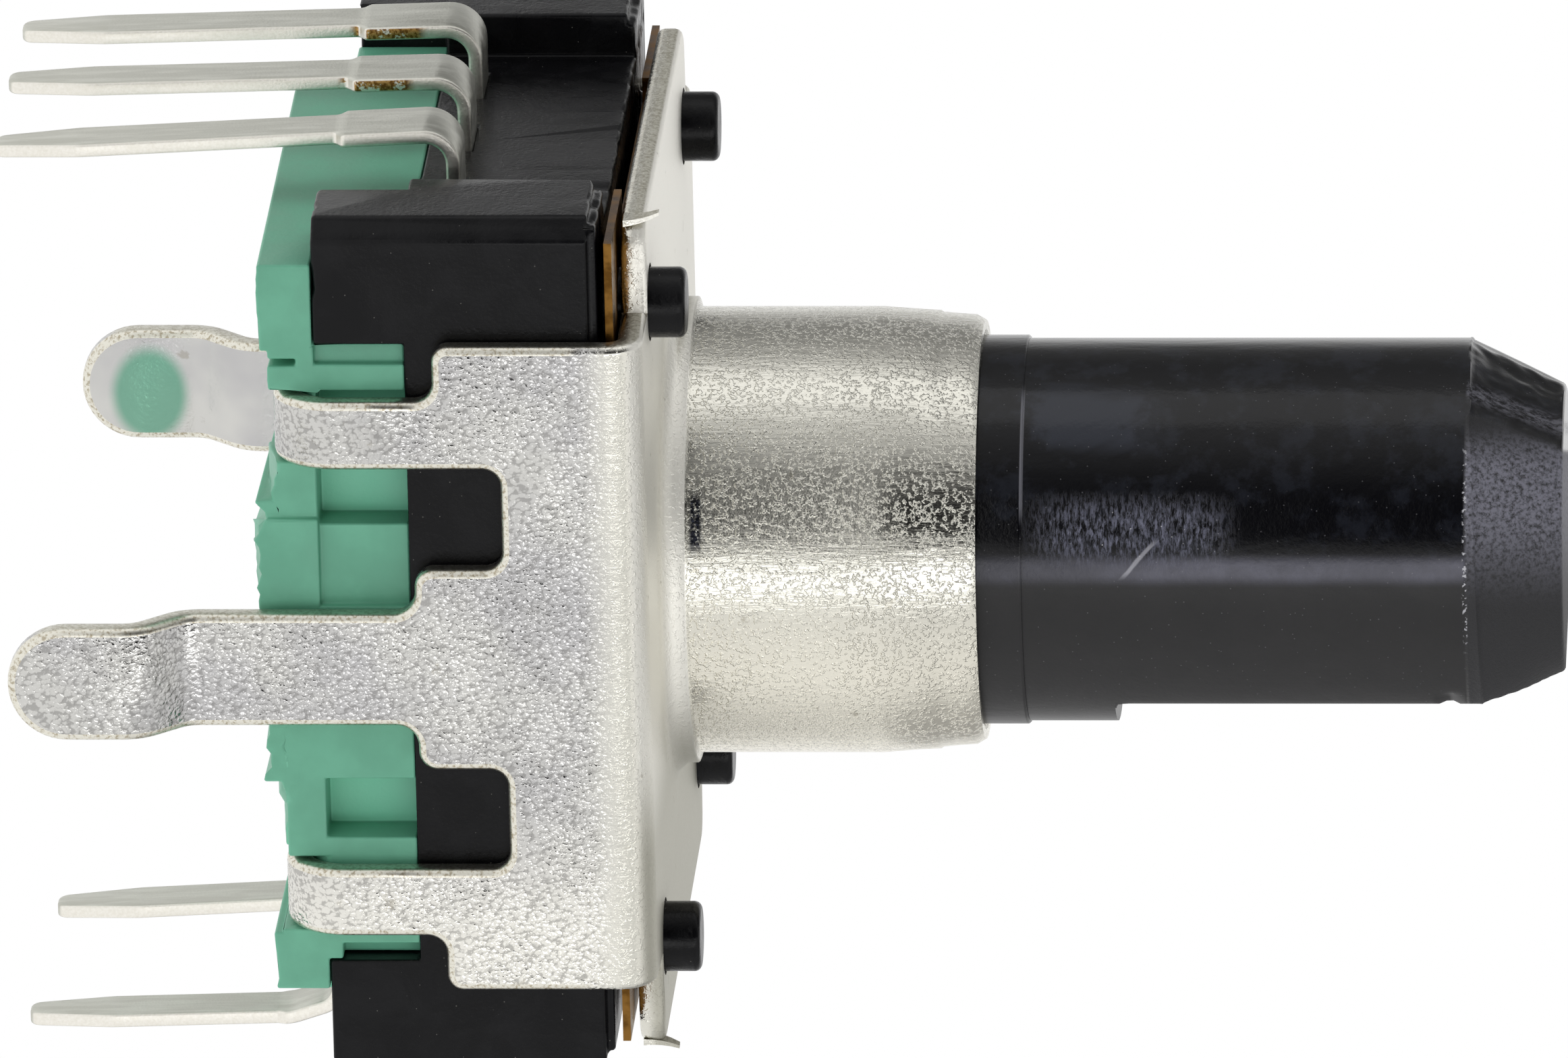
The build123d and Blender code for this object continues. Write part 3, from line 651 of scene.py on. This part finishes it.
# ---- pieces --------------------------------------------------------------------------
BEVEL_STEPS = 3                    # segments of a rounded edge
MERGE, FLAT = 0.0002 * MM, math.radians(0.6)     # what counts as one point, and as one flat face
SHARP = 28.0                       # degrees from which an edge counts as sharp
PLATE_UNDER_Z = 5.7                # just below the front plate
BUSHING_FOOT = (4.1, 6.19)         # radius and height from which the bushing keeps its own steps
PEG_HOLE = (5.25, 4.15, 0.61)      # place and radius of a peg hole in the front plate
PLATE_CORNER = (5.3, 4.8)          # inner corner between a tongue and a wall, close to the hole
CORNER_REACH, CORNER_SHARE = 0.13, 0.1    # the rounding there, and how much of it is kept
PEG_FOOT_Z = 5.52
BURR_STEPS = 4
BURR_Z, BURR_RISE, BURR_BEND = 5.85, 0.55, 0.12
SINK_ANGLE, SINK_HALF = 12.0, 21.0
NICK_ANGLE, NICK_Z, NICK_R = 134.0, 18.3, 0.13
CONE_LEAN = 0.2                    # how much later the cone starts on the strip light's side
SLOTS = {part["node"]: part["material_slot"] for part in frame["record"]["subparts"]}
BODIES = {node: body for body, nodes in frame["record"]["behaviour"]["bodies"].items() for node in nodes}


def on_bushing(vert):
    """True on the bushing, whose fine drawn steps are left as they are."""
    radius, foot = BUSHING_FOOT
    return vert.co.z > foot * MM and vert.co.xy.length < radius * MM


def peg_rim(vert):
    """True on the rim of a peg hole, which is left sharp."""
    x, y, radius = PEG_HOLE
    away = math.hypot(abs(vert.co.x) - x * MM, abs(vert.co.y) - y * MM)
    return vert.co.z > PLATE_UNDER_Z * MM and abs(away - radius * MM) < 0.01 * MM


def ease_plate_corners(bm):
    """Takes most of the rounding back in the plate's inner corners, where the holes leave no room."""
    x, y = (size * MM for size in PLATE_CORNER)
    for vert in bm.verts:
        dx, dy = abs(vert.co.x) - x, abs(vert.co.y) - y
        near = vert.co.z > PLATE_UNDER_Z * MM and max(abs(dx), abs(dy)) < CORNER_REACH * MM
        if near and not peg_rim(vert):
            vert.co.x = math.copysign(x + CORNER_SHARE * dx, vert.co.x)
            vert.co.y = math.copysign(y + CORNER_SHARE * dy, vert.co.y)


def rounded_copy(node, radius):
    """A copy of a CAD node with its sharp edges rounded over, as its own mesh."""
    bm = bmesh.new()
    bm.from_mesh(frame["nodes"][node].data)
    rolled = bm.faces.layers.float.new("rolled")
    bmesh.ops.remove_doubles(bm, verts=bm.verts, dist=MERGE)
    bmesh.ops.dissolve_limit(bm, angle_limit=FLAT, verts=bm.verts, edges=bm.edges)
    limit = math.radians(SHARP)
    edges = [e for e in bm.edges if e.is_manifold and e.calc_face_angle(0) > limit]
    if node == "bracket":
        edges = [e for e in edges if not any(on_bushing(v) for v in e.verts)]
        edges = [e for e in edges if not all(peg_rim(v) for v in e.verts)]
    made = bmesh.ops.bevel(bm, geom=edges, offset=radius * MM, offset_type="OFFSET",
                           segments=BEVEL_STEPS, profile=0.5, affect="EDGES", clamp_overlap=False)
    for face in made["faces"]:
        face[rolled] = 1.0
    if node == "bracket":
        ease_plate_corners(bm)
    bmesh.ops.triangulate(bm, faces=[f for f in bm.faces if len(f.verts) > 4])
    return bm


def sliced(bm, axis, positions, inside):
    """Adds cuts across the faces whose middle passes the inside test."""
    for position in positions:
        faces = [f for f in bm.faces if inside(f.calc_center_median() / MM)]
        parts = {e for f in faces for e in f.edges} | {v for f in faces for v in f.verts}
        spot = Vector((0, 0, 0))
        spot[axis] = position * MM
        normal = Vector((0, 0, 0))
        normal[axis] = 1.0
        bmesh.ops.bisect_plane(bm, geom=faces + list(parts), dist=0.0005 * MM,
                               plane_co=spot, plane_no=normal)


def steps(low, high, pitch):
    """Evenly spaced positions between two limits."""
    return [low + pitch * i for i in range(int((high - low) / pitch) + 1)]


def ragged_case(bm):
    """Torn rear edge of the switch case, along both long faces."""
    def rear_edge(p):
        return p.z < 0.62 and abs(p.y) > 4.4
    sliced(bm, 2, (0.34, 0.48), rear_edge)
    sliced(bm, 0, steps(-5.4, 6.4, 0.11), rear_edge)
    sliced(bm, 1, (-5.85, -5.6, -5.2, 5.2, 5.6, 5.85), rear_edge)
    for vert in bm.verts:
        x, y, z = vert.co / MM
        edge = smooth_step(abs(y), 4.9, 5.7) * (1 - smooth_step(z, 0.25, 0.5))
        edge *= 1 - 0.8 * smooth_step(abs(x + 0.3), 3.2, 4.2)
        coarse = noise.noise(Vector((x * 2.1, y * 0.8, 4)))
        fine = noise.noise(Vector((x * 8, y * 5, 9)))
        vert.co.z += edge * max(0.19 + 0.22 * coarse + 0.08 * fine, 0.0) * MM
        vert.co.y += edge * 0.03 * fine * MM * (-1 if y > 0 else 1)


def ragged_housing(bm):
    """Chipped front and rear edges of the housing on the terminal side."""
    def worn_edge(p):
        return p.x > 5.6 and (p.z > 5.0 or p.z < 1.5 and abs(p.y) > 5.0)
    sliced(bm, 2, (1.2, 1.35, 5.15, 5.25), worn_edge)
    sliced(bm, 1, steps(-5.9, 5.9, 0.12), worn_edge)
    sliced(bm, 0, steps(5.8, 7.1, 0.15), worn_edge)
    for vert in bm.verts:
        x, y, z = vert.co / MM
        near_front = smooth_step(z, 5.2, 5.45) * smooth_step(x, 6.1, 6.6)
        near_rear = (1 - smooth_step(z, 1.15, 1.3)) * smooth_step(x, 5.4, 5.7)
        if z > PEG_FOOT_Z:
            near_front = 0.0
        bite = noise.noise(Vector((x * 4, y * 3.2, z * 2)))
        vert.co.x -= max(bite, 0.0) * 0.09 * near_front * MM
        vert.co.z += (max(-bite, 0.0) * 0.10 * near_rear - max(bite, 0.0) * 0.06 * near_front) * MM


def add_burr(bm, x, y, lean):
    """A thin burr that curls forward from the end of a tongue."""
    rings = []
    for i in range(BURR_STEPS + 1):
        share = i / BURR_STEPS
        z = BURR_Z + BURR_RISE * share
        bend = lean * BURR_BEND * share ** 2
        half, wide = 0.05 * (1 - 0.5 * share), 0.2 * (1 - 0.6 * share)
        corners = [(x + bend + sx * half, y + sy * wide, z) for sx, sy in CORNERS]
        rings.append([bm.verts.new(Vector(c) * MM) for c in corners])
    for low, high in zip(rings, rings[1:]):
        for i in range(4):
            bm.faces.new((low[i], low[i - 3], high[i - 3], high[i]))
    bm.faces.new(rings[0][::-1])
    bm.faces.new(rings[-1])


def burred_bracket(bm):
    """Burrs left on the near corners of both tongues."""
    add_burr(bm, 6.74, 4.55, 1)
    add_burr(bm, -6.84, 4.45, -1)


# the wear that is cut into a piece once its edges are rounded
WORK = {"switch_case": ragged_case, "housing": ragged_housing, "bracket": burred_bracket}


def shown(bm, node, sharp=SHARP):
    """Turns a bmesh into the piece that stands for a CAD node, with flat faces shaded flat."""
    name = node + "_shell"
    mesh = bpy.data.meshes.new(name)
    for face in bm.faces:
        face.smooth = True
    bm.to_mesh(mesh)
    bm.free()
    mesh.set_sharp_from_angle(angle=math.radians(sharp))
    piece = bpy.data.objects.new(name, mesh)
    SCENE.collection.objects.link(piece)
    piece.data.materials.append(MATERIALS[SLOTS[node]])
    piece.modifiers.new("flat_faces", "WEIGHTED_NORMAL").keep_sharp = True
    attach(piece, BODIES[node])
    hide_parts(node)
    return piece


def smooth_min(a, b, blend):
    """The smaller of two lengths, rounded where they are nearly equal."""
    gap = max(blend - abs(a - b), 0.0) / blend
    return min(a, b) - gap * gap * blend / 4


def smooth_step(value, low, high):
    """0 below a range, 1 above it and a smooth rise between."""
    share = min(max((value - low) / (high - low), 0.0), 1.0)
    return share * share * (3 - 2 * share)


# radii, heights and the flat of the shaft, in millimetres
SHAFT = {"r": 3.0, "collar": 3.05, "collar_top": 11.8, "flat_start": 13.2, "flat": 1.5,
         "flat_angle": 196.0, "cone_r": 2.28, "cone_z": 18.75, "tip": 20.2, "flange": 3.6,
         "flange_low": 5.22, "flange_high": 5.72, "drive": 1.9, "half_flat": 1.45, "bottom": 2.37}
COLUMNS = 240                      # points around each ring of the shaft
SHAFT_MERGE, SHAFT_SHARP = 0.001 * MM, 40.0


def shaft_profile():
    """(radius, height) rows from the bottom to the tip; rows crowd where the form turns."""
    d = SHAFT
    rows = [(0.0, d["bottom"]), (d["drive"] - 0.1, d["bottom"]), (d["drive"], d["bottom"] + 0.1),
            (d["drive"], d["flange_low"]), (d["flange"] - 0.05, d["flange_low"]),
            (d["flange"], d["flange_low"] + 0.05), (d["flange"], d["flange_high"] - 0.05),
            (d["flange"] - 0.05, d["flange_high"]), (d["collar"], d["flange_high"])]
    rows += [(d["collar"], d["flange_high"] + (d["collar_top"] - d["flange_high"]) * i / 24)
             for i in range(1, 24)]
    rows += [(d["collar"], d["collar_top"] - 0.05), (d["collar"], d["collar_top"] - 0.03),
             (d["r"] + 0.03, d["collar_top"] - 0.005), (d["r"], d["collar_top"]),
             (d["r"], d["collar_top"] + 0.02)]
    rows += [(d["r"], d["collar_top"] + 0.1 + i * 0.1) for i in range(12)]
    rows += [(d["r"], d["flat_start"] - 0.1 + 0.025 * i) for i in range(9)]
    high = d["cone_z"] - 0.06
    low = d["flat_start"] + 0.2
    rows += [(d["r"], low + (high - low) * i / 60) for i in range(61)]
    rows += [(d["r"] + 0.008, high + 0.02), (d["r"] + 0.008, high + 0.045), (d["r"] - 0.03, high + 0.07)]
    cone = d["tip"] - d["cone_z"] - 0.06
    rows += [(d["r"] - 0.03 - (d["r"] - d["cone_r"] - 0.05) * i / 26, high + 0.07 + cone * i / 26)
             for i in range(1, 27)]
    rows += [(d["cone_r"] - 0.01, d["tip"] - 0.02), (d["cone_r"] - 0.06, d["tip"])]
    rows += [(d["cone_r"] * (1 - i / 8), d["tip"]) for i in range(1, 9)]
    return rows


def flat_distance(z):
    """Distance of the D-flat from the axis, with its filleted start."""
    d = SHAFT
    ahead = z - d["flat_start"]
    if ahead < -0.1:
        return 9.0
    if ahead < 0:
        return d["r"] - 0.1 + math.sqrt(max(0.01 - (ahead + 0.1) ** 2, 0.0))
    fillet = 0.14
    if ahead < fillet:
        return d["flat"] + fillet - math.sqrt(fillet ** 2 - (fillet - ahead) ** 2)
    return d["flat"]


def sink_mark(angle, z):
    """Depth of the smeared hollow on one side of the tip cone."""
    d = SHAFT
    if z < d["cone_z"] - 0.02:
        return 0.0
    along = (z - d["cone_z"]) / (d["tip"] - d["cone_z"])
    offset = (angle - SINK_ANGLE + 180) % 360 - 180
    crest = SINK_HALF + 2 * along + 2 * noise.noise(Vector((z * 3, 0, 7)))
    away = abs(offset)
    hollow = 0.09 * smooth_step(crest - away, 0, 12) * smooth_step(along, -0.05, 0.25)
    trench = 0.04 * math.exp(-((away - crest - 5) / 3.5) ** 2)
    rough = 0.02 * noise.noise(Vector((angle * 0.25, z * 5, 3))) * smooth_step(crest + 8 - away, 0, 6)
    return (hollow + trench + rough) * smooth_step(1.0 - along, 0.0, 0.1)


def nick(angle, z):
    """Depth of a tiny round nick on the edge of the flat."""
    across = SHAFT["r"] * math.radians((angle - NICK_ANGLE + 180) % 360 - 180)
    reach = math.hypot(across * 0.4, z - NICK_Z) / NICK_R
    return 0.07 * max(1.0 - reach ** 2, 0.0)


def shaft_point(radius, z, angle):
    """A point of the shaft's surface: the round profile cut by its flats and its marks."""
    d = SHAFT
    reach = radius
    if z < d["flange_low"] - 0.01 and radius <= d["drive"]:
        across = abs(math.sin(math.radians(angle)))
        reach = min(radius, d["half_flat"] / max(across, 0.01))
    facing = math.cos(math.radians(angle - d["flat_angle"]))
    if facing > 0.05:
        reach = smooth_min(reach, flat_distance(z) / facing, 0.05)
    reach = max(reach - sink_mark(angle, z) - nick(angle, z), 0.0)
    turn = math.radians(angle)
    x, y = reach * math.cos(turn), reach * math.sin(turn)
    fall = (x * PICTURE_UP[0] + y * PICTURE_UP[1]) / d["r"]
    share = smooth_step(z, 17.6, d["cone_z"]) * smooth_step(d["tip"] - z, 0.0, 1.0)
    return x * MM, y * MM, (z + CONE_LEAN * share * (1 - fall) / 2) * MM


def shaft_piece():
    """The D-shaft as one grid of rings."""
    bm = bmesh.new()
    rings = []
    for radius, z in shaft_profile():
        angles = [SHAFT["flat_angle"] + 360.0 * column / COLUMNS for column in range(COLUMNS)]
        rings.append([bm.verts.new(shaft_point(radius, z, angle)) for angle in angles])
    for low, high in zip(rings, rings[1:]):
        for column in range(COLUMNS):
            after = (column + 1) % COLUMNS
            bm.faces.new((low[column], low[after], high[after], high[column]))
    bmesh.ops.remove_doubles(bm, verts=bm.verts, dist=SHAFT_MERGE)
    bmesh.ops.recalc_face_normals(bm, faces=bm.faces)
    return bm


MATERIALS = {slot: make() for slot, make in FINISHES.items()}
ROUNDING = {                       # radius of the rounded edges of each reworked piece
    "bracket": 0.12, "housing": 0.06, "switch_case": 0.04,
    "terminal_a": 0.05, "terminal_c": 0.05, "terminal_b": 0.05,
    "switch_terminal_d": 0.04, "switch_terminal_e": 0.04,
}
shown(shaft_piece(), "shaft", SHAFT_SHARP)
for node_name, node_object in frame["nodes"].items():
    if node_name == "shaft":
        continue
    if node_name in ROUNDING:
        form = rounded_copy(node_name, ROUNDING[node_name])
        if node_name in WORK:
            WORK[node_name](form)
        shown(form, node_name)
    else:
        node_object.data.materials.clear()
        node_object.data.materials.append(MATERIALS[SLOTS[node_name]])

SCENE.view_settings.view_transform = "Standard"
directions = make_camera()
make_floor(cad_box[0][2] - PAPER_GAP, *directions[1:])
for softbox in SOFTBOXES:
    make_softbox(*softbox, *directions)
make_tent(*directions[1:])
